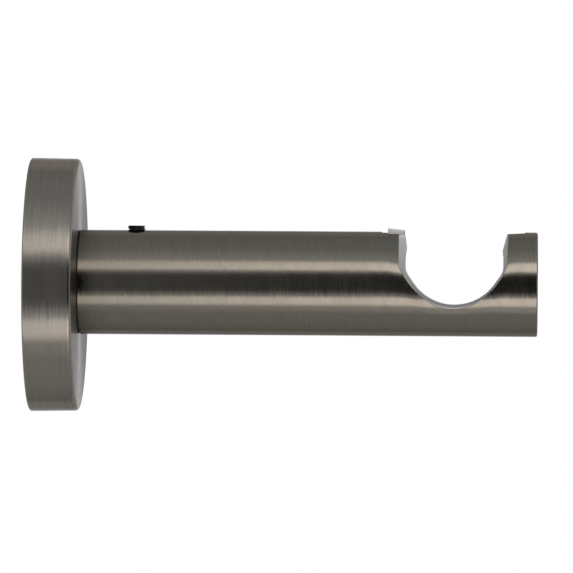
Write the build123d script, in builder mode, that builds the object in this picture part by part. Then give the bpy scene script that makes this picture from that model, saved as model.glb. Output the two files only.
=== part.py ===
from build123d import *
import math
import os

# A curtain rod bracket. A shallow round cup covers the plate that is screwed to the wall, a tube
# arm stands out from the cup, and a lined notch near the arm's end carries the rod.
# Millimetres. +X runs out from the wall along the arm, +Y along the rod, +Z up. The origin is on
# the wall, at the centre of the wall plate.

# Rosette, the turned cup that covers the wall plate
rosette_wall_dia = 53.45
rosette_front_dia = 53.15
rosette_depth = 10.25
rosette_thickness = 1.3
rosette_front_round = 0.8
rosette_back_chamfer = 0.25

# Wall plate, the steel disc inside the rosette, and its two screw holes one above the other
plate_thickness = 3.0
plate_rosette_gap = 0.3
plate_rim_chamfer = 0.4
wall_hole_spacing = 34.0
wall_hole_dia = 5.5
wall_hole_sink_dia = 9.8
sink_angle = 90

# Spigot, the round bar that the arm slides on
spigot_rosette_gap = 0.3
spigot_reach = 22.0
spigot_end_chamfer = 1.0

# Spigot screw, a flat head machine screw through the wall plate from behind
spigot_screw_dia = 5.0
spigot_screw_head_dia = 9.6
spigot_screw_length = 15.0
spigot_screw_recess = 0.2
spigot_screw_socket = 3.0
spigot_screw_socket_depth = 1.6
spigot_screw_tip_chamfer = 0.5
spigot_bore_spare = 1.5
thread_gap = 0.05

# Arm, a round tube. Its screw lifts it until its axis is a little above the spigot's.
arm_dia = 22.0
arm_wall = 1.2
arm_length = 96.5
arm_end_chamfer = 0.25
arm_lift = 0.6
arm_spigot_gap = 0.1

# Grub screw that holds the arm on the spigot
grub_from_rosette = 11.95
grub_dia = 3.9
grub_stands_proud = 0.95
grub_top_chamfer = 0.3
grub_tip_dia = 2.5
grub_tip_length = 0.7
grub_tip_gap = 0.15
grub_dimple_depth = 0.6
grub_socket = 2.0
grub_socket_depth = 1.9

# Notch across the arm, seen along the rod: a round floor, wider round flanks, upright sides.
# Heights are measured from the arm's axis.
notch_from_tip = 17.75
notch_floor_drop = 5.3
notch_floor_radius = 9.3
notch_floor_angle = 33.0
notch_flank_radius = 16.9

# Shallow relief milled over the crown on both sides of the notch
relief_reach = 3.6
relief_end_depth = 0.2
relief_notch_depth = 0.4

# Liner, the moulded plastic insert of the notch. The rod lies on its floor and passes its sides
# with a little room. The depths of its lips are measured down from the arm's crown.
rod_dia = 20.0
rod_gap = 0.45
rod_side_gap = 0.35
liner_thickness = 1.05
liner_floor_thickness = 0.95
liner_seat_gap = 0.05
liner_flush_gap = 0.1
liner_shift = 0.2
cradle_half_angle = 55.0
cradle_corner_radius = 3.0
lip_start_depth = 5.5
wall_lip_depth = 3.35
wall_lip_lean = 0.3
wall_rim_lean = 0.38
end_lip_depth = 3.9
end_lip_lean = 0.15
end_rim_lean = 1.0
lip_root_round = 0.8
lip_tip_round = 0.3

# Tab of the liner, on the crown at the notch's wall side
tab_reach = 2.3
tab_width = 5.6
tab_outer_thickness = 1.1
tab_inner_thickness = 0.62
tab_root = 2.0
tab_edge_round = 0.3

# End cap, the disc that closes the tube's end
cap_gap = 0.05
cap_thickness = 3.0
cap_chamfer = 0.2

# Places worked out from the sizes above
arm_radius = arm_dia / 2
bore_radius = arm_radius - arm_wall
spigot_radius = bore_radius - arm_lift - arm_spigot_gap
cup_radius = rosette_wall_dia / 2 - rosette_thickness
cup_front_radius = rosette_front_dia / 2 - rosette_thickness
cup_floor = rosette_depth - rosette_thickness
cup_taper = (cup_front_radius - cup_radius) / cup_floor
plate_radius = min(cup_radius, cup_radius + cup_taper * plate_thickness) - plate_rosette_gap
grub_x = rosette_depth + grub_from_rosette
grub_top = arm_lift + arm_radius + grub_stands_proud
grub_foot = spigot_radius - grub_dimple_depth
notch_x = rosette_depth + arm_length - notch_from_tip
cradle_radius = rod_dia / 2 + rod_gap
cradle_half_width = rod_dia / 2 + rod_side_gap
cradle_floor = liner_seat_gap + liner_floor_thickness - notch_floor_drop
notch_half_width = cradle_half_width + liner_thickness + liner_seat_gap
relief_floor = arm_radius - relief_notch_depth
relief_slope = (relief_notch_depth - relief_end_depth) / relief_reach
above_arm = 2 * arm_dia
sink_slope = math.tan(math.radians(sink_angle / 2))

# Planes for the sketches
wall_plane = Plane.YZ
behind_wall_plane = Plane(origin=(0, 0, 0), x_dir=(0, -1, 0), z_dir=(-1, 0, 0))
arm_plane = Plane(origin=(rosette_depth, 0, arm_lift), x_dir=(0, 1, 0), z_dir=(1, 0, 0))
notch_plane = Plane(origin=(notch_x, 0, arm_lift), x_dir=(1, 0, 0), z_dir=(0, -1, 0))
liner_plane = Plane(origin=(notch_x + liner_shift, 0, arm_lift), x_dir=(1, 0, 0), z_dir=(0, -1, 0))

os.makedirs("parts", exist_ok=True)


# Rosette: a revolved cup, open to the wall, with a hole for the spigot
with BuildPart() as rosette:
    with BuildSketch(Plane.XZ):
        with BuildLine():
            Polyline(
                (0, cup_radius),
                (0, rosette_wall_dia / 2),
                (rosette_depth, rosette_front_dia / 2),
                (rosette_depth, spigot_radius + spigot_rosette_gap),
                (cup_floor, spigot_radius + spigot_rosette_gap),
                (cup_floor, cup_front_radius),
                close=True,
            )
        make_face()
    revolve(axis=Axis.X)
    rims = rosette.edges().filter_by(GeomType.CIRCLE)
    fillet(rims.group_by(Axis.X)[-1].sort_by(SortBy.RADIUS)[-1], radius=rosette_front_round)
    chamfer(rims.group_by(Axis.X)[0].sort_by(SortBy.RADIUS)[-1], length=rosette_back_chamfer)


# Wall plate: a disc with two sunk holes for wall screws and one sunk from behind for the spigot
with BuildPart() as wall_plate:
    with BuildSketch(wall_plane):
        Circle(plate_radius)
    extrude(amount=plate_thickness)
    chamfer(wall_plate.edges().group_by(Axis.X)[-1], length=plate_rim_chamfer)
    with Locations(wall_plane.offset(plate_thickness)):
        with GridLocations(0, wall_hole_spacing, 1, 2):
            CounterSinkHole(wall_hole_dia / 2, wall_hole_sink_dia / 2, plate_thickness, sink_angle)
    with Locations(behind_wall_plane):
        CounterSinkHole(
            spigot_screw_dia / 2 + thread_gap,
            spigot_screw_head_dia / 2 + spigot_screw_recess * sink_slope + thread_gap,
            plate_thickness,
            sink_angle,
        )


# Spigot: a round bar on the plate, tapped for its screw and dimpled for the grub screw's tip
with BuildPart() as spigot:
    with BuildSketch(wall_plane.offset(plate_thickness)):
        Circle(spigot_radius)
    extrude(amount=rosette_depth + spigot_reach - plate_thickness)
    chamfer(spigot.edges().group_by(Axis.X)[-1], length=spigot_end_chamfer)
    with Locations(behind_wall_plane.offset(-plate_thickness)):
        Hole(
            spigot_screw_dia / 2 + thread_gap,
            spigot_screw_recess + spigot_screw_length - plate_thickness + spigot_bore_spare,
        )
    with Locations(Plane.XY.offset(spigot_radius)):
        with Locations((grub_x, 0)):
            Hole(grub_tip_dia / 2 + grub_tip_gap, grub_dimple_depth)


# Spigot screw: a revolved flat head screw with a hexagon socket
with BuildPart() as spigot_screw:
    shank_radius = spigot_screw_dia / 2
    head_radius = spigot_screw_head_dia / 2
    head_height = (head_radius - shank_radius) / sink_slope
    with BuildSketch(Plane.XZ.move(Location((spigot_screw_recess, 0, 0)))):
        with BuildLine():
            Polyline(
                (0, 0),
                (0, head_radius),
                (head_height, shank_radius),
                (spigot_screw_length, shank_radius),
                (spigot_screw_length, 0),
                close=True,
            )
        make_face()
    revolve(axis=Axis.X)
    with BuildSketch(wall_plane.offset(spigot_screw_recess)):
        RegularPolygon(spigot_screw_socket / 2, 6, major_radius=False)
    extrude(amount=spigot_screw_socket_depth, mode=Mode.SUBTRACT)
    chamfer(spigot_screw.edges().group_by(Axis.X)[-1], length=spigot_screw_tip_chamfer)


# The notch's outline across the arm, drawn in by gap all round
def notch_outline(gap):
    with BuildSketch(notch_plane) as outline:
        with BuildLine():
            floor = JernArc((0, -notch_floor_drop), (1, 0), notch_floor_radius, notch_floor_angle)
            flank = JernArc(floor @ 1, floor % 1, notch_flank_radius, 90 - notch_floor_angle)
            side = Line(flank @ 1, ((flank @ 1).X, above_arm))
            lid = Line(side @ 1, (0, above_arm))
            Line(lid @ 1, floor @ 0)
        make_face()
        mirror(about=Plane.YZ)
        Rectangle(2 * notch_half_width, 2 * above_arm, mode=Mode.INTERSECT)
        if gap:
            offset(amount=-gap)
    return outline.sketch


# The relief over the crown: sloping floors from its ends down to the notch's sides
def relief_outline():
    relief_end = notch_half_width + relief_reach
    with BuildSketch(notch_plane) as outline:
        with BuildLine():
            Polyline(
                (-relief_end, relief_floor + relief_slope * relief_reach),
                (-notch_half_width, relief_floor),
                (notch_half_width, relief_floor),
                (relief_end, relief_floor + relief_slope * relief_reach),
                (relief_end, above_arm),
                (-relief_end, above_arm),
                close=True,
            )
        make_face()
    return outline.sketch


# Arm: the tube with its notch, the relief beside it and the tapped hole of the grub screw
with BuildPart() as arm:
    with BuildSketch(arm_plane):
        Circle(arm_radius)
        Circle(bore_radius, mode=Mode.SUBTRACT)
    extrude(amount=arm_length)
    outer_rims = arm.edges().filter_by(GeomType.CIRCLE).filter_by(lambda rim: rim.radius > bore_radius)
    chamfer(outer_rims, length=arm_end_chamfer)
    extrude(notch_outline(0), amount=arm_dia, both=True, mode=Mode.SUBTRACT)
    extrude(relief_outline(), amount=arm_dia, both=True, mode=Mode.SUBTRACT)
    with Locations(Plane.XY.offset(arm_lift + arm_radius)):
        with Locations((grub_x, 0)):
            Hole(grub_dia / 2 + thread_gap, arm_radius)


# Grub screw: upright in the arm's crown, its tip in the spigot's dimple
with BuildPart() as arm_grub_screw:
    with BuildSketch(Plane.XY.offset(grub_foot)):
        with Locations((grub_x, 0)):
            Circle(grub_tip_dia / 2)
    extrude(amount=grub_tip_length)
    with BuildSketch(Plane.XY.offset(grub_foot + grub_tip_length)):
        with Locations((grub_x, 0)):
            Circle(grub_dia / 2)
    extrude(amount=grub_top - grub_foot - grub_tip_length)
    chamfer(arm_grub_screw.edges().group_by(Axis.Z)[-1], length=grub_top_chamfer)
    with BuildSketch(Plane.XY.offset(grub_top)):
        with Locations((grub_x, 0)):
            RegularPolygon(grub_socket / 2, 6, major_radius=False)
    extrude(amount=-grub_socket_depth, mode=Mode.SUBTRACT)


# Half of the rod's space in the liner, seen along the rod: a round floor, a straight flank, an
# upright side with a lip at its top and a rim that leans outwards above the lip
def rod_space_half(lip_depth, lip_lean, rim_lean):
    lip_half_gap = cradle_half_width - lip_lean
    rim_half_gap = lip_half_gap + rim_lean
    with BuildSketch() as half:
        with BuildLine():
            floor = JernArc((0, cradle_floor), (1, 0), cradle_radius, cradle_half_angle)
            foot = floor @ 1
            slope = floor % 1
            wall = FilletPolyline(
                foot,
                (cradle_half_width, foot.Y + (cradle_half_width - foot.X) * slope.Y / slope.X),
                (cradle_half_width, arm_radius - lip_start_depth),
                (lip_half_gap, arm_radius - lip_depth),
                (rim_half_gap, arm_radius),
                radius=(cradle_corner_radius, lip_root_round, lip_tip_round),
            )
            Polyline(wall @ 1, (rim_half_gap, above_arm), (0, above_arm), floor @ 0)
        make_face()
    return half.sketch


# The tab, seen along the rod: a wedge on the crown, with a root in the liner's wall side
def tab_outline():
    notch_side = liner_seat_gap - notch_half_width
    with BuildSketch(notch_plane) as outline:
        with BuildLine():
            Polyline(
                (-notch_half_width - tab_reach, relief_floor + liner_seat_gap + relief_slope * tab_reach),
                (-notch_half_width - tab_reach, relief_floor + tab_outer_thickness),
                (-notch_half_width + tab_root, relief_floor + tab_inner_thickness),
                (-notch_half_width + tab_root, relief_floor - tab_root),
                (notch_side, relief_floor - tab_root),
                (notch_side, relief_floor + liner_seat_gap),
                close=True,
            )
        make_face()
    return outline.sketch


# Tab: it lies on the crown on the wall's side, its upper edges rounded
with BuildPart() as tab:
    extrude(tab_outline(), amount=tab_width / 2, both=True)
    tab_top = tab.faces().sort_by(Axis.Z)[-1]
    fillet(tab_top.edges(), radius=tab_edge_round)


# Cradle liner: fills the notch, flush with the tube, with its tab and with the rod's space cut
# through it
with BuildPart() as cradle_liner:
    end_half = rod_space_half(end_lip_depth, end_lip_lean, end_rim_lean)
    wall_half = rod_space_half(wall_lip_depth, wall_lip_lean, wall_rim_lean)
    extrude(notch_outline(liner_seat_gap), amount=arm_dia, both=True)
    with BuildSketch(arm_plane):
        Circle(arm_radius - liner_flush_gap)
    extrude(amount=arm_length, mode=Mode.INTERSECT)
    extrude(relief_outline(), amount=arm_dia, both=True, mode=Mode.SUBTRACT)
    add(tab)
    with BuildSketch(liner_plane):
        add(end_half)
        add(wall_half.mirror(Plane.YZ))
    extrude(amount=arm_dia, both=True, mode=Mode.SUBTRACT)


# End cap: a disc pressed flush into the tube's end
with BuildPart() as end_cap:
    with BuildSketch(arm_plane.offset(arm_length - cap_thickness)):
        Circle(bore_radius - cap_gap)
    extrude(amount=cap_thickness)
    chamfer(end_cap.edges(), length=cap_chamfer)


# Labels and files
pieces = {
    "rosette": rosette,
    "wall_plate": wall_plate,
    "spigot": spigot,
    "spigot_screw": spigot_screw,
    "arm": arm,
    "arm_grub_screw": arm_grub_screw,
    "cradle_liner": cradle_liner,
    "end_cap": end_cap,
}
for name, piece in pieces.items():
    piece.part.label = name
    export_step(piece.part, f"parts/{name}.step")

print("rod axis at", notch_x + liner_shift, 0, arm_lift + cradle_floor + cradle_radius)
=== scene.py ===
import math

import bmesh
import bpy
from mathutils import Matrix, Quaternion, Vector


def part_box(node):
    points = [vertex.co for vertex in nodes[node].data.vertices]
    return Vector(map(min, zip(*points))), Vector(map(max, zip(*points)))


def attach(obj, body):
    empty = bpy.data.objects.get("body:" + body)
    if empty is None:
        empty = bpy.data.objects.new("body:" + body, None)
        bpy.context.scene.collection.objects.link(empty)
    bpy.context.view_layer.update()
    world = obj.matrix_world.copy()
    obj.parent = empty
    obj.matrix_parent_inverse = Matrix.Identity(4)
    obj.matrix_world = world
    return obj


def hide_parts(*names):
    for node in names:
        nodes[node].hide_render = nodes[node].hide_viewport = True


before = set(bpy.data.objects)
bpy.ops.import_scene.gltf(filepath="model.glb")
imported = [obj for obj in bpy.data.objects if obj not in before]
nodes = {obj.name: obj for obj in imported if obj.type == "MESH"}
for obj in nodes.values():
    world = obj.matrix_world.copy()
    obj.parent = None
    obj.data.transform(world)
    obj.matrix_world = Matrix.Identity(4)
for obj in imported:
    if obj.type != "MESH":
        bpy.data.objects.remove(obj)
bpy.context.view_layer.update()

MM = 0.001
SHARP_ANGLE = math.radians(25)
MERGE_DISTANCE = 0.001 * MM

# Places read from the frame, in metres
arm_low, arm_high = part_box("arm")
arm_middle = (arm_low + arm_high) / 2
arm_axis_height = arm_middle.z
grub_low, grub_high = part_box("arm_grub_screw")
grub_centre = (grub_low + grub_high) / 2
liner_low, liner_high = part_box("cradle_liner")
rosette_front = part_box("rosette")[1].x

# Grub screw, M4 with a pitch of 0.7 mm. A crest stands a little above the arm's crown.
SCREW_PITCH = 0.7 * MM
SCREW_ROOT_RADIUS = 1.58 * MM
SCREW_NECK_RADIUS = 1.75 * MM
SCREW_NECK_HEIGHT = 0.42 * MM
SCREW_CREST_DROP = 0.74 * MM
SCREW_TIP_LENGTH = 0.7 * MM
SCREW_TIP_RADIUS = 1.25 * MM
SCREW_TIP_SIDES = 24
SCREW_STEPS = 48
SOCKET_SIDES = 6
SOCKET_ACROSS_FLATS = 2.0 * MM
SOCKET_DEPTH = 1.9 * MM

# Where the thread's flank starts and where its crest runs, as shares of the pitch
THREAD_FLANK_START = 0.25
THREAD_CREST_START = 0.5625
THREAD_CREST_END = 0.6875

# What lies further out than this share of the root's radius is the screw's side, not its socket
SCREW_SIDE_SHARE = 0.95

# The rod's space in the liner: its axis along X and Z, and its radius
ROD_AXIS_X = 89.2 * MM
ROD_AXIS_HEIGHT = 6.75 * MM
ROD_SPACE_RADIUS = 10.45 * MM

# The tube's edge is drawn in a little round the notch: the middle and radius where that starts,
# how far it reaches, and how much the surface leans upwards at the edge
NOTCH_EDGE_MIDDLE = 88.6 * MM
NOTCH_EDGE_RADIUS = 11.0 * MM
NOTCH_EDGE_REACH = 3.4 * MM
NOTCH_EDGE_LEAN = 0.044

# Sloping flanks of the liner's tab, across the arm and above its axis. The shoulder and the top
# are shares of the flank's height.
TAB_FLANK_START = 0.05 * MM
TAB_FLANK_LENGTH = 3.3 * MM
TAB_FLANK_INSIDE = 2.6 * MM
TAB_FLANK_SHOULDER = 3.12 * MM
TAB_FLANK_OUTSIDE = 3.42 * MM
TAB_FLANK_FOOT = 10.4 * MM
TAB_FLANK_FALL = 0.45 * MM
TAB_FLANK_SHOULDER_SHARE = 0.66
TAB_FLANK_TOP_SHARE = 0.99

# Camera: level with the arm, a little right of the picture's middle, and turned back to the left
CAMERA_PLACE = Vector((0.0970, -1.2080, 0.0018))
CAMERA_AIM = Vector((0.0539, 0.0, -0.0001))
CAMERA_ROLL = math.radians(0.365)
CAMERA_LENS = 360.3
CAMERA_CLIP_END = 10.0
SENSOR_WIDTH = 36.0

# The tent's light: angles are in degrees round the arm from the camera's side, and the ends start
# where that share of a direction runs along the arm
GAP_HALF_ANGLE = 25.0
GAP_BLEND = 8.0
TENT_FALL_START = 45.0
TENT_FALL_END = 90.0
TENT_NEAR_STRIP = 0.72
TENT_GREY = 0.42
TENT_TINT = (0.94, 1.01, 1.06, 1.0)
TENT_END_START = 0.75
TENT_END_FULL = 0.95
BACKDROP_START = 122.0
BACKDROP_END = 150.0

# How far the lamps stand from the arm's axis, their colours, and the floor below
STRIP_REACH = 0.50
PANEL_REACH = 0.40
WHITE_LIGHT = (1.0, 1.0, 1.0)
WARM_LIGHT = (1.0, 0.945, 0.92)
COOL_LIGHT = (0.93, 1.0, 1.07)
FLOOR_HEIGHT = -0.48
FLOOR_RADIUS = 0.46
FLOOR_SIDES = 96

# A noise texture's values lie round this middle, and nearly all of them between these two
NOISE_MIDDLE = 0.5
NOISE_LOW = 0.3
NOISE_HIGH = 0.7


# Node trees

def add_node(tree, kind, **settings):
    node = tree.nodes.new(kind)
    for name, value in settings.items():
        setattr(node, name, value)
    return node


# A socket is fed by another node's output or by a plain value
def feed(tree, socket, value):
    if isinstance(value, bpy.types.NodeSocket):
        tree.links.new(value, socket)
    else:
        socket.default_value = value


def math_node(tree, operation, first, second=None):
    node = add_node(tree, "ShaderNodeMath", operation=operation)
    feed(tree, node.inputs[0], first)
    if second is not None:
        feed(tree, node.inputs[1], second)
    return node.outputs[0]


def vector_node(tree, operation, first, second=None, scale=None):
    node = add_node(tree, "ShaderNodeVectorMath", operation=operation)
    feed(tree, node.inputs[0], first)
    if second is not None:
        feed(tree, node.inputs[1], second)
    if scale is not None:
        feed(tree, node.inputs["Scale"], scale)
    return node.outputs[0]


def combine_xyz(tree, x, y, z):
    node = add_node(tree, "ShaderNodeCombineXYZ")
    for socket, value in zip(node.inputs, (x, y, z)):
        feed(tree, socket, value)
    return node.outputs[0]


def separate_xyz(tree, vector):
    node = add_node(tree, "ShaderNodeSeparateXYZ")
    tree.links.new(vector, node.inputs[0])
    return node.outputs


def object_place(tree):
    return add_node(tree, "ShaderNodeTexCoord").outputs["Object"]


def map_range(tree, value, from_low, from_high, to_low, to_high):
    node = add_node(tree, "ShaderNodeMapRange", interpolation_type="SMOOTHSTEP")
    names = ("Value", "From Min", "From Max", "To Min", "To Max")
    for name, given in zip(names, (value, from_low, from_high, to_low, to_high)):
        feed(tree, node.inputs[name], given)
    return node.outputs["Result"]


def noise(tree, place, scale, detail, roughness=0.5):
    node = add_node(tree, "ShaderNodeTexNoise")
    names = ("Vector", "Scale", "Detail", "Roughness")
    for name, given in zip(names, (place, scale, detail, roughness)):
        feed(tree, node.inputs[name], given)
    return node.outputs["Fac"]


# A noise texture's values, stretched to run from low to high
def from_noise(tree, value, low, high):
    return map_range(tree, value, NOISE_LOW, NOISE_HIGH, low, high)


def mix_colour(tree, factor, first, second):
    node = add_node(tree, "ShaderNodeMix", data_type="RGBA")
    sockets = {socket.identifier: socket for socket in node.inputs}
    for name, value in (("Factor_Float", factor), ("A_Color", first), ("B_Color", second)):
        feed(tree, sockets[name], value)
    return next(socket for socket in node.outputs if socket.identifier == "Result_Color")


# The root of the sum of two squares
def length_of(tree, first, second):
    first_square = math_node(tree, "MULTIPLY", first, first)
    second_square = math_node(tree, "MULTIPLY", second, second)
    return math_node(tree, "SQRT", math_node(tree, "ADD", first_square, second_square))


def colour(red, green, blue):
    return (red, green, blue, 1.0)


# Shared effects, as node groups that each material places with its own values

def new_group(name, inputs, outputs):
    group = bpy.data.node_groups.new(name, "ShaderNodeTree")
    ports = group.interface
    for title, value in inputs:
        socket = ports.new_socket(name=title, in_out="INPUT", socket_type="NodeSocketFloat")
        socket.default_value = value
    for title, kind in outputs:
        ports.new_socket(name=title, in_out="OUTPUT", socket_type=kind)
    given = add_node(group, "NodeGroupInput").outputs
    result = add_node(group, "NodeGroupOutput").inputs
    return group, given, result


def place_group(tree, group, values):
    node = add_node(tree, "ShaderNodeGroup", node_tree=group)
    for name, value in values.items():
        node.inputs[name].default_value = value
    return node.outputs


# Mottle: a soft pattern of lighter and darker spots, for clouds and for grain
def mottle_group():
    group, given, result = new_group(
        "mottle",
        inputs=(("Scale", 100.0), ("Detail", 2.0)),
        outputs=(("Mottle", "NodeSocketFloat"),),
    )
    pattern = noise(group, object_place(group), given["Scale"], given["Detail"])
    group.links.new(pattern, result["Mottle"])
    return group


# Turned lines: fine brush marks that run round an axis along X. Across the marks the pattern
# follows the turned profile, so it runs along a side and outwards over a face. Patches are the
# same pattern, far coarser, and the normal leans round the axis with the fine marks.
LINES_DETAIL = 2.5
LINES_ROUGHNESS = 0.65
PATCHES_SCALE = 0.12
PATCHES_DETAIL = 1.0


def turned_lines_group():
    group, given, result = new_group(
        "turned_lines",
        inputs=(
            ("Axis Height", 0.0),
            ("Line Width", 0.3 * MM),
            ("Line Length", 4 * MM),
            ("Slant", 0.0),
            ("Tilt", 0.0),
        ),
        outputs=(
            ("Lines", "NodeSocketFloat"),
            ("Patches", "NodeSocketFloat"),
            ("Normal", "NodeSocketVector"),
        ),
    )
    place = separate_xyz(group, object_place(group))
    across = place["Y"]
    up = math_node(group, "SUBTRACT", place["Z"], given["Axis Height"])
    radius = length_of(group, across, up)
    profile = math_node(group, "SUBTRACT", place["X"], radius)
    slanted = math_node(group, "ADD", profile, math_node(group, "MULTIPLY", up, given["Slant"]))
    pattern_place = combine_xyz(
        group,
        math_node(group, "DIVIDE", slanted, given["Line Width"]),
        math_node(group, "DIVIDE", across, given["Line Length"]),
        math_node(group, "DIVIDE", up, given["Line Length"]),
    )
    fine = noise(group, pattern_place, 1.0, LINES_DETAIL, LINES_ROUGHNESS)
    patches = noise(group, pattern_place, PATCHES_SCALE, PATCHES_DETAIL)

    down = math_node(group, "MULTIPLY", up, -1.0)
    round_way = vector_node(group, "NORMALIZE", combine_xyz(group, 0.0, down, across))
    off_middle = math_node(group, "SUBTRACT", fine, NOISE_MIDDLE)
    lean = math_node(group, "MULTIPLY", off_middle, given["Tilt"])
    normal = add_node(group, "ShaderNodeNewGeometry").outputs["Normal"]
    leaned = vector_node(group, "ADD", normal, vector_node(group, "SCALE", round_way, scale=lean))
    group.links.new(fine, result["Lines"])
    group.links.new(patches, result["Patches"])
    group.links.new(vector_node(group, "NORMALIZE", leaned), result["Normal"])
    return group


# Metals

# A quarter turn sets the long way of the reflections across the brush marks
BRUSHING_TURN = 0.25
FRONT_BLEND = 0.1 * MM


def new_material(name):
    material = bpy.data.materials.new(name)
    material.use_nodes = True
    tree = material.node_tree
    return material, tree, tree.nodes["Principled BSDF"]


# A turned or brushed metal. Its lines swing the colour up and down by colour_swing and the
# roughness by fine_swing, and its patches swing the roughness by rough_swing. From front_start on,
# along X, the roughness is front_roughness. A lean is a function that bends the surface's normal.
def brushed_metal(
    name,
    base,
    edge_tint,
    roughness,
    brushing,
    lines,
    colour_swing,
    rough_swing,
    fine_swing=0.0,
    front_start=None,
    front_roughness=None,
    lean=None,
):
    material, tree, shader = new_material(name)
    marks = place_group(tree, turned_lines, lines)
    darker = colour(*(channel * (1 - colour_swing) for channel in base))
    lighter = colour(*(channel * (1 + colour_swing) for channel in base))
    swing = from_noise(tree, marks["Lines"], 0.0, 1.0)
    tree.links.new(mix_colour(tree, swing, darker, lighter), shader.inputs["Base Color"])
    patchy = from_noise(tree, marks["Patches"], roughness - rough_swing, roughness + rough_swing)
    fine = math_node(tree, "SUBTRACT", marks["Lines"], NOISE_MIDDLE)
    rough = math_node(tree, "ADD", patchy, math_node(tree, "MULTIPLY", fine, fine_swing))
    if front_start is not None:
        along = separate_xyz(tree, object_place(tree))["X"]
        past = map_range(tree, along, front_start, front_start + FRONT_BLEND, 0.0, 1.0)
        surplus = math_node(tree, "SUBTRACT", rough, front_roughness)
        rough = math_node(tree, "SUBTRACT", rough, math_node(tree, "MULTIPLY", past, surplus))
    tree.links.new(rough, shader.inputs["Roughness"])
    normal = marks["Normal"]
    if lean is not None:
        normal = lean(tree, normal)
    tree.links.new(normal, shader.inputs["Normal"])
    shader.inputs["Metallic"].default_value = 1.0
    shader.inputs["Specular Tint"].default_value = colour(*edge_tint)
    shader.inputs["Anisotropic"].default_value = brushing
    shader.inputs["Anisotropic Rotation"].default_value = BRUSHING_TURN
    tangent = add_node(tree, "ShaderNodeTangent", direction_type="RADIAL", axis="X")
    tree.links.new(tangent.outputs["Tangent"], shader.inputs["Tangent"])
    return material


# Beside the notch the surface leans upwards, most at the edge, so that the bright bands bend there
# as they do on a tube whose edge is drawn in
def lean_at_notch(tree, normal):
    place = separate_xyz(tree, object_place(tree))
    aside = math_node(tree, "SUBTRACT", place["X"], NOTCH_EDGE_MIDDLE)
    above = math_node(tree, "SUBTRACT", place["Z"], ROD_AXIS_HEIGHT)
    reach = length_of(tree, aside, math_node(tree, "MINIMUM", above, 0.0))
    lean = map_range(
        tree, reach, NOTCH_EDGE_RADIUS, NOTCH_EDGE_RADIUS + NOTCH_EDGE_REACH, NOTCH_EDGE_LEAN, 0.0
    )
    leaned = vector_node(tree, "ADD", normal, combine_xyz(tree, 0.0, 0.0, lean))
    return vector_node(tree, "NORMALIZE", leaned)


def brushed_anthracite_arm():
    return brushed_metal(
        "brushed_anthracite_arm",
        base=(0.235, 0.208, 0.172),
        edge_tint=(0.33, 0.34, 0.35),
        roughness=0.25,
        brushing=0.9,
        lines={
            "Axis Height": arm_axis_height,
            "Line Width": 0.32 * MM,
            "Line Length": 5 * MM,
            "Slant": 0.1,
            "Tilt": 0.052,
        },
        colour_swing=0.06,
        rough_swing=0.022,
        fine_swing=0.12,
        lean=lean_at_notch,
    )


# The rosette's front is a little smoother than its side. It starts just before the front's plane,
# on the rounded edge.
ROSETTE_EDGE = 0.15 * MM


def brushed_anthracite_rosette():
    return brushed_metal(
        "brushed_anthracite_rosette",
        base=(0.29, 0.257, 0.221),
        edge_tint=(0.34, 0.34, 0.345),
        roughness=0.275,
        brushing=0.85,
        lines={"Line Width": 0.45 * MM, "Line Length": 18 * MM, "Tilt": 0.08},
        colour_swing=0.06,
        rough_swing=0.03,
        fine_swing=0.12,
        front_start=rosette_front - ROSETTE_EDGE,
        front_roughness=0.24,
    )


def turned_steel():
    return brushed_metal(
        "turned_steel",
        base=(0.55, 0.55, 0.56),
        edge_tint=(0.8, 0.8, 0.8),
        roughness=0.3,
        brushing=0.6,
        lines={"Line Width": 0.25 * MM, "Line Length": 20 * MM, "Tilt": 0.02},
        colour_swing=0.04,
        rough_swing=0.05,
    )


# A finish with faint clouds, between two colours and two roughnesses
def clouded_finish(name, scale, detail, darker, lighter, smoothest, roughest, metallic):
    material, tree, shader = new_material(name)
    cloud = place_group(tree, mottle, {"Scale": scale, "Detail": detail})["Mottle"]
    tree.links.new(mix_colour(tree, cloud, darker, lighter), shader.inputs["Base Color"])
    tree.links.new(from_noise(tree, cloud, smoothest, roughest), shader.inputs["Roughness"])
    shader.inputs["Metallic"].default_value = metallic
    return material


def zinc_plate():
    return clouded_finish(
        "zinc_plate",
        scale=400.0,
        detail=4.0,
        darker=colour(0.55, 0.56, 0.58),
        lighter=colour(0.66, 0.66, 0.65),
        smoothest=0.38,
        roughest=0.5,
        metallic=1.0,
    )


def black_steel():
    return clouded_finish(
        "black_steel",
        scale=1500.0,
        detail=3.0,
        darker=colour(0.006, 0.006, 0.007),
        lighter=colour(0.02, 0.019, 0.019),
        smoothest=0.35,
        roughest=0.5,
        metallic=0.0,
    )


# Liner: a grained grey plastic with faint clouds. Four places have painted light or shade over it:
# a painted highlight over the arm's crown, painted shade on the lip on the tip's side and on the
# bed under the rod, and a painted glint on the rim beside the arm. Each share grows from none at
# its start to its full value, by the place seen from the rod's axis. The bed and the rim are told
# apart by how much wall lies between them and the rod's space.
PLASTIC_GRAIN = {"Scale": 6000.0, "Detail": 2.0}
PLASTIC_GRAIN_STRENGTH = 0.15
PLASTIC_GRAIN_HEIGHT = 0.02 * MM
PLASTIC_SMOOTHEST = 0.42
PLASTIC_ROUGHEST = 0.55
PLASTIC_CLOUDS = {"Scale": 180.0, "Detail": 2.0}
PLASTIC_DARKER = colour(0.315, 0.306, 0.288)
PLASTIC_LIGHTER = colour(0.345, 0.336, 0.316)

# Painted highlight: the liner is lighter over the arm's crown, as if lit from above
PAINTED_CROWN_HIGHLIGHT = colour(0.48, 0.475, 0.455)
PAINTED_CROWN_HIGHLIGHT_SHARE = 0.66
CROWN_START = 3.4 * MM
CROWN_FULL = 4.0 * MM

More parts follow.
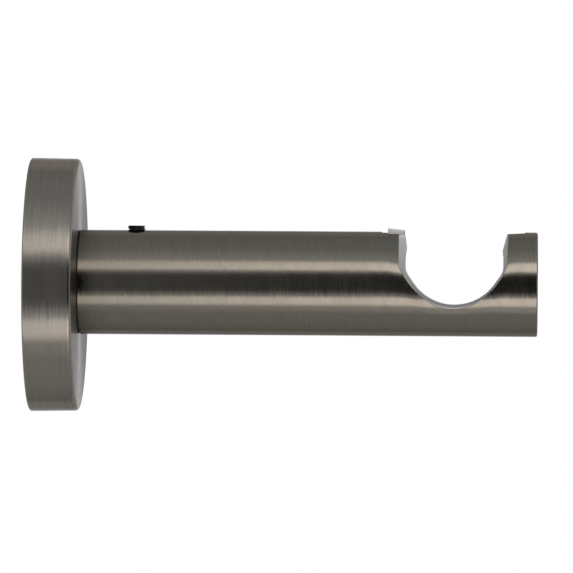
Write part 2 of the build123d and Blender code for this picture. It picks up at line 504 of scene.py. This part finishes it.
# Painted shade: the lip on the tip's side is darker, as if less lit
PAINTED_TIP_LIP_SHADE = colour(0.14, 0.138, 0.135)
PAINTED_TIP_LIP_SHADE_SHARE = 0.45
TIP_LIP_START = 4 * MM
TIP_LIP_FULL = 9 * MM

# Painted shade: the bed under the rod is darker along its inner edge, where the notch's walls shade
# it
PAINTED_BED_SHADE = colour(0.14, 0.137, 0.13)
PAINTED_BED_SHADE_SHARE = 0.3
BED_START = -5 * MM
BED_FULL = -9 * MM
BED_FULL_WALL = 0.3 * MM
BED_END_WALL = 0.6 * MM

# Painted glint: the low rim beside the arm is lighter, as if catching the lower strip light
PAINTED_RIM_GLINT = colour(0.68, 0.65, 0.61)
PAINTED_RIM_GLINT_SHARE = 0.9
RIM_START = -3.5 * MM
RIM_FULL = -7 * MM
RIM_START_WALL = 0.45 * MM
RIM_FULL_WALL = 0.75 * MM


def liner_plastic():
    material, tree, shader = new_material("liner_plastic")
    place = separate_xyz(tree, object_place(tree))
    aside = math_node(tree, "SUBTRACT", place["X"], ROD_AXIS_X)
    above = math_node(tree, "SUBTRACT", place["Z"], ROD_AXIS_HEIGHT)
    wall = math_node(tree, "SUBTRACT", length_of(tree, aside, above), ROD_SPACE_RADIUS)

    painted_crown_highlight = map_range(tree, above, CROWN_START, CROWN_FULL, 0.0, PAINTED_CROWN_HIGHLIGHT_SHARE)
    painted_tip_lip_shade = map_range(tree, aside, TIP_LIP_START, TIP_LIP_FULL, 0.0, PAINTED_TIP_LIP_SHADE_SHARE)
    low_bed = map_range(tree, above, BED_FULL, BED_START, PAINTED_BED_SHADE_SHARE, 0.0)
    inner_wall = map_range(tree, wall, BED_FULL_WALL, BED_END_WALL, 1.0, 0.0)
    painted_bed_shade = math_node(tree, "MULTIPLY", inner_wall, low_bed)
    low_rim = map_range(tree, above, RIM_FULL, RIM_START, PAINTED_RIM_GLINT_SHARE, 0.0)
    outer_wall = map_range(tree, wall, RIM_START_WALL, RIM_FULL_WALL, 0.0, 1.0)
    painted_rim_glint = math_node(tree, "MULTIPLY", outer_wall, low_rim)

    cloud = place_group(tree, mottle, PLASTIC_CLOUDS)["Mottle"]
    base = mix_colour(tree, cloud, PLASTIC_DARKER, PLASTIC_LIGHTER)
    # The painted highlight, painted shade and painted glint are laid over the plastic's own colour
    for share, tone in (
        (painted_crown_highlight, PAINTED_CROWN_HIGHLIGHT),
        (painted_tip_lip_shade, PAINTED_TIP_LIP_SHADE),
        (painted_bed_shade, PAINTED_BED_SHADE),
        (painted_rim_glint, PAINTED_RIM_GLINT),
    ):
        base = mix_colour(tree, share, base, tone)
    tree.links.new(base, shader.inputs["Base Color"])

    grain = place_group(tree, mottle, PLASTIC_GRAIN)["Mottle"]
    rough = from_noise(tree, grain, PLASTIC_SMOOTHEST, PLASTIC_ROUGHEST)
    tree.links.new(rough, shader.inputs["Roughness"])
    bump = add_node(tree, "ShaderNodeBump")
    bump.inputs["Strength"].default_value = PLASTIC_GRAIN_STRENGTH
    bump.inputs["Distance"].default_value = PLASTIC_GRAIN_HEIGHT
    tree.links.new(grain, bump.inputs["Height"])
    tree.links.new(bump.outputs["Normal"], shader.inputs["Normal"])
    return material


def dress(node, material):
    mesh = nodes[node].data
    mesh.materials.clear()
    mesh.materials.append(material)


# Pieces that are modelled here

def corners_of(parts):
    return [part for part in parts if isinstance(part, bmesh.types.BMVert)]


def edges_of(parts):
    return [part for part in parts if isinstance(part, bmesh.types.BMEdge)]


# A finished bmesh becomes a piece that rides on the bracket, and may take the place of a node
def finish_piece(shape, name, material, node=None):
    bmesh.ops.recalc_face_normals(shape, faces=shape.faces)
    for face in shape.faces:
        face.smooth = True
    for edge in shape.edges:
        edge.smooth = edge.calc_face_angle(0.0) < SHARP_ANGLE
    mesh = bpy.data.meshes.new(name)
    shape.to_mesh(mesh)
    shape.free()
    mesh.materials.append(material)
    piece = bpy.data.objects.new(name, mesh)
    bpy.context.scene.collection.objects.link(piece)
    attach(piece, "root")
    if node is not None:
        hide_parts(node)


# A level cut through the screw, whose edges are returned. With a way of 1 what lies above the cut
# is taken off, and with -1 what lies below it.
def cut_level(shape, height, way):
    cut = bmesh.ops.bisect_plane(
        shape,
        geom=shape.verts[:] + shape.edges[:] + shape.faces[:],
        plane_co=(0.0, 0.0, height),
        plane_no=(0.0, 0.0, way),
        clear_outer=True,
    )
    return edges_of(cut["geom_cut"])


# The open edges of a cut across the screw are bridged to a smaller ring at that height, which is
# then pushed along by depth and closed
def sink_ring(shape, cut_edges, sides, radius, height, depth, turn=0.0):
    centre = Matrix.Translation((grub_centre.x, grub_centre.y, height))
    ring = bmesh.ops.create_circle(
        shape,
        cap_ends=False,
        segments=sides,
        radius=radius,
        matrix=centre @ Matrix.Rotation(turn, 4, "Z"),
    )["verts"]
    ring_edges = list(dict.fromkeys(edge for corner in ring for edge in corner.link_edges))
    bmesh.ops.bridge_loops(shape, edges=cut_edges + ring_edges)
    pushed = bmesh.ops.extrude_edge_only(shape, edges=ring_edges)["geom"]
    bmesh.ops.translate(shape, verts=corners_of(pushed), vec=(0.0, 0.0, depth))
    bmesh.ops.holes_fill(shape, edges=edges_of(pushed), sides=sides)


# A threaded screw: one thread's outline after another up its side, turned once round while it
# rises by a pitch, then cut level at the top and where the tip starts. The top is drawn in to a
# neck.
def threaded_grub_screw():
    shape = bmesh.new()
    crest_radius = (grub_high.x - grub_low.x) / 2
    thread_foot = grub_low.z + SCREW_TIP_LENGTH
    thread = (
        (0.0, SCREW_ROOT_RADIUS),
        (THREAD_FLANK_START, SCREW_ROOT_RADIUS),
        (THREAD_CREST_START, crest_radius),
        (THREAD_CREST_END, crest_radius),
    )
    crest_middle = (THREAD_CREST_START + THREAD_CREST_END) / 2
    top_turn_foot = grub_high.z - SCREW_CREST_DROP - crest_middle * SCREW_PITCH
    first_turn = math.floor((thread_foot - top_turn_foot) / SCREW_PITCH) - 1
    last_turn = math.ceil((grub_high.z - top_turn_foot) / SCREW_PITCH)
    outline = []
    for turn in range(first_turn, last_turn + 1):
        for share, radius in thread:
            height = top_turn_foot + (turn + share) * SCREW_PITCH
            outline.append(shape.verts.new((grub_centre.x + radius, grub_centre.y, height)))
    sides = [shape.edges.new(pair) for pair in zip(outline, outline[1:])]
    bmesh.ops.spin(
        shape,
        geom=outline + sides,
        cent=grub_centre,
        axis=(0.0, 0.0, 1.0),
        angle=2 * math.pi,
        steps=SCREW_STEPS,
        dvec=(0.0, 0.0, SCREW_PITCH / SCREW_STEPS),
        use_merge=False,
    )
    bmesh.ops.remove_doubles(shape, verts=shape.verts, dist=MERGE_DISTANCE)

    half_side = math.pi / SOCKET_SIDES
    socket_radius = SOCKET_ACROSS_FLATS / 2 / math.cos(half_side)
    top_cut = cut_level(shape, grub_high.z, 1.0)
    sink_ring(
        shape, top_cut, SOCKET_SIDES, socket_radius, grub_high.z, -SOCKET_DEPTH, turn=half_side
    )
    tip_cut = cut_level(shape, thread_foot, -1.0)
    sink_ring(shape, tip_cut, SCREW_TIP_SIDES, SCREW_TIP_RADIUS, thread_foot, -SCREW_TIP_LENGTH)

    for corner in shape.verts:
        out = Vector((corner.co.x - grub_centre.x, corner.co.y - grub_centre.y, 0.0))
        on_side = out.length > SCREW_SIDE_SHARE * SCREW_ROOT_RADIUS
        if on_side and corner.co.z > grub_high.z - SCREW_NECK_HEIGHT:
            corner.co += out * (SCREW_NECK_RADIUS / out.length - 1)
    finish_piece(shape, "threaded_grub_screw", black_finish, node="arm_grub_screw")


# One flank of the tab: an outline across the arm, drawn out along it and lowered towards the
# notch. Its side is -1 towards the camera and 1 away from it.
def tab_flank(name, side):
    shape = bmesh.new()
    start = liner_low.x + TAB_FLANK_START
    foot = arm_axis_height + TAB_FLANK_FOOT
    height = liner_high.z - foot
    corners = [
        shape.verts.new((start, side * across, foot + share * height))
        for across, share in (
            (TAB_FLANK_INSIDE, 0.0),
            (TAB_FLANK_OUTSIDE, 0.0),
            (TAB_FLANK_SHOULDER, TAB_FLANK_SHOULDER_SHARE),
            (TAB_FLANK_INSIDE, TAB_FLANK_TOP_SHARE),
        )
    ]
    outline = bmesh.ops.contextual_create(shape, geom=corners)["faces"]
    pushed = bmesh.ops.extrude_face_region(shape, geom=outline)["geom"]
    for corner in corners_of(pushed):
        corner.co.x += TAB_FLANK_LENGTH
        corner.co.z -= TAB_FLANK_FALL * (corner.co.z - foot) / height
    finish_piece(shape, name, liner_finish)


turned_lines = turned_lines_group()
mottle = mottle_group()
arm_finish = brushed_anthracite_arm()
black_finish = black_steel()
liner_finish = liner_plastic()
for node, finish in (
    ("arm", arm_finish),
    ("end_cap", arm_finish),
    ("rosette", brushed_anthracite_rosette()),
    ("spigot", turned_steel()),
    ("wall_plate", zinc_plate()),
    ("spigot_screw", black_finish),
    ("cradle_liner", liner_finish),
):
    dress(node, finish)
threaded_grub_screw()
tab_flank("tab_flank_front", side=-1)
tab_flank("tab_flank_back", side=1)


# Studio: the world is a tent. It is dark in a gap in front, where the camera looks in, pale beside
# the gap, and mid grey further round and past the arm's ends. It is white to the camera and, behind
# the part, to reflections. Two strip lights stand above and below the camera's line of sight, and
# a faint one further down. A card stands level with the arm on the wall's side, and a panel over
# the part lights it but doesn't show in reflections.

def studio_world():
    world = bpy.data.worlds.new("studio")
    bpy.context.scene.world = world
    world.use_nodes = True
    tree = world.node_tree
    way = separate_xyz(tree, add_node(tree, "ShaderNodeTexCoord").outputs["Generated"])
    toward_camera = math_node(tree, "MULTIPLY", way["Y"], -1.0)
    elevation = math_node(tree, "DEGREES", math_node(tree, "ARCTAN2", way["Z"], toward_camera))
    turn = math_node(tree, "ABSOLUTE", elevation)
    gap = map_range(tree, turn, GAP_HALF_ANGLE - GAP_BLEND, GAP_HALF_ANGLE + GAP_BLEND, 0.0, 1.0)
    fall = map_range(tree, turn, TENT_FALL_START, TENT_FALL_END, TENT_NEAR_STRIP, TENT_GREY)
    tent = math_node(tree, "MULTIPLY", gap, fall)
    along = math_node(tree, "ABSOLUTE", way["X"])
    past_ends = map_range(tree, along, TENT_END_START, TENT_END_FULL, 0.0, 1.0)
    to_grey = math_node(tree, "SUBTRACT", TENT_GREY, tent)
    tent = math_node(tree, "ADD", tent, math_node(tree, "MULTIPLY", past_ends, to_grey))

    rays = add_node(tree, "ShaderNodeLightPath").outputs
    behind = map_range(tree, turn, BACKDROP_START, BACKDROP_END, 0.0, 1.0)
    mirrored = math_node(tree, "MAXIMUM", rays["Is Glossy Ray"], rays["Is Transmission Ray"])
    mirrored_backdrop = math_node(tree, "MULTIPLY", mirrored, behind)
    white = math_node(tree, "MAXIMUM", rays["Is Camera Ray"], mirrored_backdrop)
    lift = math_node(tree, "MULTIPLY", white, math_node(tree, "SUBTRACT", 1.0, tent))
    tint = mix_colour(tree, white, TENT_TINT, colour(*WHITE_LIGHT))
    background = tree.nodes["Background"]
    tree.links.new(math_node(tree, "ADD", tent, lift), background.inputs["Strength"])
    tree.links.new(tint, background.inputs["Color"])


# A flat lamp that runs from start to end along the arm, turned towards the arm's axis. Its
# elevation in degrees, seen from the arm with 0 towards the camera, is given at both ends. Its
# strength is a radiance, so a larger lamp of the same radiance looks no brighter in itself.
def flat_lamp(
    name,
    elevations,
    start,
    end,
    width,
    radiance,
    reach=STRIP_REACH,
    tint=WHITE_LIGHT,
    in_reflections=True,
):
    lamp = bpy.data.lights.new(name, "AREA")
    lamp.shape = "RECTANGLE"
    lamp.size = end - start
    lamp.size_y = width
    lamp.energy = radiance * math.pi * (end - start) * width
    lamp.color = tint
    stand = bpy.data.objects.new(name, lamp)
    bpy.context.scene.collection.objects.link(stand)
    ends = []
    for along, elevation in zip((start, end), elevations):
        angle = math.radians(elevation)
        forwards = reach * math.cos(angle)
        upwards = reach * math.sin(angle)
        ends.append(Vector((along, -forwards, arm_axis_height + upwards)))
    stand.location = (ends[0] + ends[1]) / 2
    long_way = (ends[1] - ends[0]).normalized()
    away = Vector((0.0, stand.location.y, stand.location.z - arm_axis_height))
    wide_way = away.cross(long_way).normalized()
    axes = Matrix((long_way, wide_way, long_way.cross(wide_way)))
    stand.rotation_mode = "QUATERNION"
    stand.rotation_quaternion = axes.transposed().to_quaternion()
    stand.visible_camera = False
    stand.visible_glossy = in_reflections


def studio_lamps():
    flat_lamp(
        "upper_strip",
        elevations=(40.3, 33.7),
        start=0.03,
        end=0.27,
        width=0.184,
        radiance=2.29,
        tint=WARM_LIGHT,
    )
    flat_lamp(
        "lower_strip",
        elevations=(-40.7, -39.6),
        start=0.0,
        end=0.34,
        width=0.170,
        radiance=1.81,
        tint=WARM_LIGHT,
    )
    flat_lamp(
        "lower_glow",
        elevations=(-58.0, -58.0),
        start=0.05,
        end=0.27,
        width=0.14,
        radiance=0.6,
    )
    flat_lamp(
        "left_card",
        elevations=(0.0, 0.0),
        start=-0.10,
        end=-0.01,
        width=0.375,
        radiance=0.56,
        reach=PANEL_REACH,
        tint=COOL_LIGHT,
    )
    flat_lamp(
        "top_panel",
        elevations=(86.0, 86.0),
        start=-0.15,
        end=0.25,
        width=0.40,
        radiance=2.5,
        reach=PANEL_REACH,
        in_reflections=False,
    )


# The floor is clear from below
def pale_floor():
    material, tree, shader = new_material("pale_floor")
    shader.inputs["Base Color"].default_value = colour(0.66, 0.66, 0.66)
    shader.inputs["Roughness"].default_value = 0.8
    facing_away = add_node(tree, "ShaderNodeNewGeometry").outputs["Backfacing"]
    clear = add_node(tree, "ShaderNodeBsdfTransparent")
    blend = add_node(tree, "ShaderNodeMixShader")
    tree.links.new(facing_away, blend.inputs["Fac"])
    tree.links.new(shader.outputs["BSDF"], blend.inputs[1])
    tree.links.new(clear.outputs["BSDF"], blend.inputs[2])
    tree.links.new(blend.outputs["Shader"], tree.nodes["Material Output"].inputs["Surface"])
    return material


def floor_disc():
    mesh = bpy.data.meshes.new("floor")
    shape = bmesh.new()
    bmesh.ops.create_circle(
        shape,
        cap_ends=True,
        segments=FLOOR_SIDES,
        radius=FLOOR_RADIUS,
        matrix=Matrix.Translation((arm_middle.x, 0.0, FLOOR_HEIGHT)),
    )
    for face in shape.faces:
        face.normal_update()
        if face.normal.z < 0:
            face.normal_flip()
    shape.to_mesh(mesh)
    shape.free()
    mesh.materials.append(pale_floor())
    floor = bpy.data.objects.new("floor", mesh)
    bpy.context.scene.collection.objects.link(floor)


def camera():
    lens = bpy.data.cameras.new("camera")
    lens.lens = CAMERA_LENS
    lens.sensor_width = SENSOR_WIDTH
    lens.clip_end = CAMERA_CLIP_END
    stand = bpy.data.objects.new("camera", lens)
    bpy.context.scene.collection.objects.link(stand)
    stand.location = CAMERA_PLACE
    aim = (CAMERA_AIM - CAMERA_PLACE).to_track_quat("-Z", "Y")
    stand.rotation_mode = "QUATERNION"
    stand.rotation_quaternion = aim @ Quaternion((0.0, 0.0, 1.0), CAMERA_ROLL)
    bpy.context.scene.camera = stand


studio_world()
studio_lamps()
floor_disc()
camera()

bpy.context.scene.view_settings.view_transform = "Standard"
